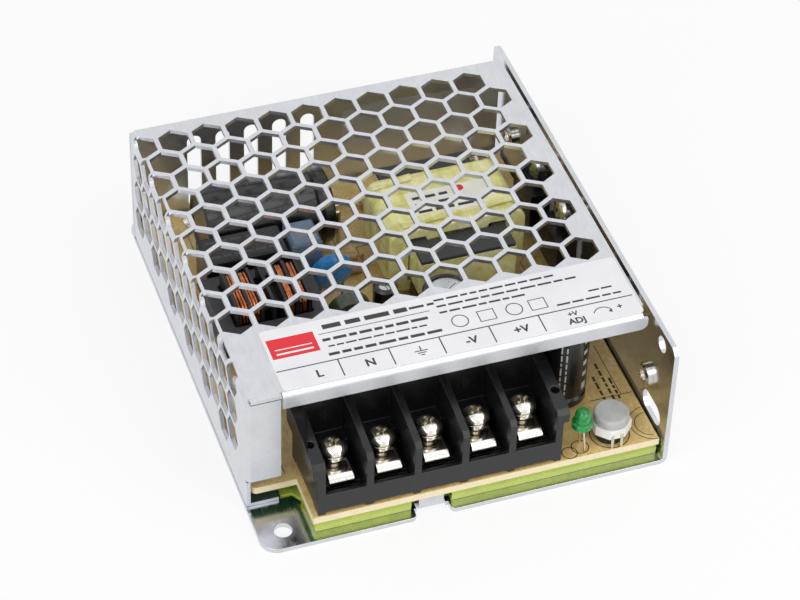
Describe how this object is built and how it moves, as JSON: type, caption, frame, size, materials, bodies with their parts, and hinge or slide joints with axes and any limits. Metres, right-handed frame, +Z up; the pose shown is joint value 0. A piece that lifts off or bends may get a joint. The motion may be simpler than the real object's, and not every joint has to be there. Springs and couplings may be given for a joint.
{
  "type": "mesh case switching power supply",
  "caption": "Open-front switching power supply in a folded sheet-metal chassis with a hexagon-mesh cover, screw terminals, indicator light and output trimmer.",
  "frame": {"origin": "centre of the footprint, on the face the case stands on", "axes": "+X towards the chassis wall, +Y from the terminals to the rear, +Z up through the perforated cover"},
  "size_m": [0.082, 0.099, 0.03],
  "materials": {
    "chassis_steel": "bright zinc-plated sheet, satin",
    "cover_steel": "zinc-plated sheet, satin",
    "screw_steel": "nickel-plated",
    "label_film": "white printed film",
    "film_green": "translucent yellow-green film",
    "board_laminate": "tan laminate",
    "black_moulding": "black moulding, slightly glossy",
    "contact_metal": "tin-plated brass",
    "led_green": "green tinted lens",
    "white_moulding": "white moulding",
    "knob_grey": "grey moulding",
    "sleeve_black": "black shrink sleeve",
    "case_dark": "dark case",
    "case_blue_grey": "grey-blue case",
    "ceramic_blue": "blue coating",
    "ferrite": "dark ferrite",
    "copper_wire": "enamelled copper",
    "ceramic_white": "ceramic",
    "ceramic_green": "dark coating",
    "tape_yellow": "yellow polyester tape",
    "paper_white": "paper",
    "core_yellow": "painted iron powder",
    "pad_grey": "silicone pad",
    "resistor_tan": "lacquered",
    "film_clear": "clear film"
  },
  "bodies": {
    "case": {"chassis": "chassis_steel", "side_nuts": "screw_steel", "cover": "cover_steel", "cover_screws": "screw_steel", "label": "label_film", "insulation_film": "film_green", "board_spacers": "screw_steel", "circuit_board": "board_laminate", "board_screws": "screw_steel", "terminal_block": "black_moulding", "terminal_contacts": "contact_metal", "indicator_led": "led_green", "led_leads": "screw_steel", "trimmer_base": "white_moulding", "bulk_capacitor": "sleeve_black", "bulk_capacitor_leads": "screw_steel", "mains_capacitor": "case_dark", "film_capacitor": "case_blue_grey", "disc_capacitor": "ceramic_blue", "choke_core": "ferrite", "choke_bobbin": "black_moulding", "choke_windings": "copper_wire", "fuse": "ceramic_white", "fuse_leads": "screw_steel", "thermistor": "ceramic_green", "bridge_rectifier": "case_dark", "transformer_core": "ferrite", "transformer_winding": "tape_yellow", "transformer_bobbin": "black_moulding", "transformer_label": "paper_white", "output_capacitors": "sleeve_black", "control_capacitor": "sleeve_black", "output_choke_core": "core_yellow", "output_choke_winding": "copper_wire", "power_devices": "case_dark", "heat_pads": "pad_grey", "device_screws": "screw_steel", "optocoupler": "case_dark", "control_chip": "case_dark", "resistors": "resistor_tan", "jumper_wires": "screw_steel", "barrier_film": "film_clear"},
    "clamp_1": {"wire_clamp_1": "screw_steel"},
    "screw_1": {"terminal_screw_1": "screw_steel"},
    "clamp_2": {"wire_clamp_2": "screw_steel"},
    "screw_2": {"terminal_screw_2": "screw_steel"},
    "clamp_3": {"wire_clamp_3": "screw_steel"},
    "screw_3": {"terminal_screw_3": "screw_steel"},
    "clamp_4": {"wire_clamp_4": "screw_steel"},
    "screw_4": {"terminal_screw_4": "screw_steel"},
    "clamp_5": {"wire_clamp_5": "screw_steel"},
    "screw_5": {"terminal_screw_5": "screw_steel"},
    "trimmer": {"trimmer_knob": "knob_grey"}
  },
  "joints": [
    {"name": "clamp_1_slide", "type": "slide", "parent": "case", "child": "clamp_1", "axis": [0, 0, 1], "range_m": [-0.0011, 0.0012]},
    {"name": "screw_1_turn", "type": "hinge", "parent": "clamp_1", "child": "screw_1", "pos_m": [-0.0245, -0.0402, 0.0147], "axis": [0, 0, 1], "range_deg": [-800, 880]},
    {"name": "clamp_2_slide", "type": "slide", "parent": "case", "child": "clamp_2", "axis": [0, 0, 1], "range_m": [-0.0011, 0.0012]},
    {"name": "screw_2_turn", "type": "hinge", "parent": "clamp_2", "child": "screw_2", "pos_m": [-0.015, -0.0402, 0.0147], "axis": [0, 0, 1], "range_deg": [-800, 880]},
    {"name": "clamp_3_slide", "type": "slide", "parent": "case", "child": "clamp_3", "axis": [0, 0, 1], "range_m": [-0.0011, 0.0012]},
    {"name": "screw_3_turn", "type": "hinge", "parent": "clamp_3", "child": "screw_3", "pos_m": [-0.0055, -0.0402, 0.0147], "axis": [0, 0, 1], "range_deg": [-800, 880]},
    {"name": "clamp_4_slide", "type": "slide", "parent": "case", "child": "clamp_4", "axis": [0, 0, 1], "range_m": [-0.0011, 0.0012]},
    {"name": "screw_4_turn", "type": "hinge", "parent": "clamp_4", "child": "screw_4", "pos_m": [0.004, -0.0402, 0.0147], "axis": [0, 0, 1], "range_deg": [-800, 880]},
    {"name": "clamp_5_slide", "type": "slide", "parent": "case", "child": "clamp_5", "axis": [0, 0, 1], "range_m": [-0.0011, 0.0012]},
    {"name": "screw_5_turn", "type": "hinge", "parent": "clamp_5", "child": "screw_5", "pos_m": [0.0135, -0.0402, 0.0147], "axis": [0, 0, 1], "range_deg": [-800, 880]},
    {"name": "trimmer_turn", "type": "hinge", "parent": "case", "child": "trimmer", "pos_m": [0.0306, -0.0442, 0.0112], "axis": [0, 0, 1], "range_deg": [-120, 120]}
  ],
  "couplings": [
    {"joint": "screw_1_turn", "follows": "clamp_1_slide", "rad_per_m": 12566},
    {"joint": "screw_2_turn", "follows": "clamp_2_slide", "rad_per_m": 12566},
    {"joint": "screw_3_turn", "follows": "clamp_3_slide", "rad_per_m": 12566},
    {"joint": "screw_4_turn", "follows": "clamp_4_slide", "rad_per_m": 12566},
    {"joint": "screw_5_turn", "follows": "clamp_5_slide", "rad_per_m": 12566}
  ]
}
